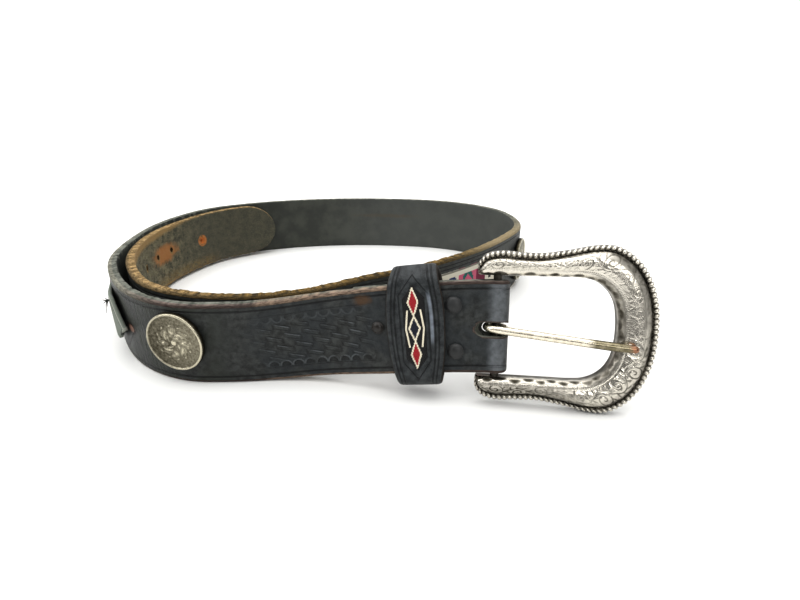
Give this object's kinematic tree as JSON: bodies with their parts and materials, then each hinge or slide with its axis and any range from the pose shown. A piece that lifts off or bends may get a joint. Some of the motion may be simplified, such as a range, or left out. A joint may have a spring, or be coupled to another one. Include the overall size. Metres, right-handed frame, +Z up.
{
  "type": "western belt",
  "caption": "Western leather belt, unfastened and coiled on its edge, with an engraved buckle, keeper, domed medallions and woven panels.",
  "frame": {"origin": "centre of the bounding box, at the level of the table that the belt stands on", "axes": "+Z up, +X towards the buckle's outer end, -Y the side the front run of the strap faces"},
  "size_m": [0.286, 0.224, 0.0658],
  "materials": {
    "leather": "black waxed leather with a soft sheen",
    "woven_cloth": "woven wool and cotton",
    "nickel": "tarnished nickel plate, satin",
    "black_cap": "black lacquered cap",
    "brown_cap": "worn dark lacquered cap",
    "buckle_metal": "antique silver plate",
    "bar_steel": "plain steel rod",
    "prong_metal": "pale gold plate"
  },
  "bodies": {
    "strap": {"strap": "leather", "keeper": "leather", "keeper_inlay": "woven_cloth", "fold_screw_upper": "black_cap", "fold_screw_lower": "black_cap", "fold_screw_rear": "brown_cap", "medallion_1": "nickel", "medallion_2": "nickel", "medallion_3": "nickel", "medallion_4": "nickel", "woven_panel_1": "woven_cloth", "woven_panel_2": "woven_cloth", "woven_panel_3": "woven_cloth", "woven_panel_4": "woven_cloth"},
    "buckle": {"buckle_frame": "buckle_metal", "heel_bar": "bar_steel"},
    "prong": {"prong": "prong_metal"}
  },
  "joints": [
    {"name": "buckle_hinge", "type": "hinge", "parent": "strap", "child": "buckle", "pos_m": [0.08036, -0.09449, 0.032], "axis": [0.028, -0.2756, -0.9609], "range_deg": [-45, 30]},
    {"name": "prong_hinge", "type": "hinge", "parent": "buckle", "child": "prong", "pos_m": [0.08036, -0.09449, 0.032], "axis": [0.028, -0.2756, -0.9609], "range_deg": [0, 75]}
  ]
}
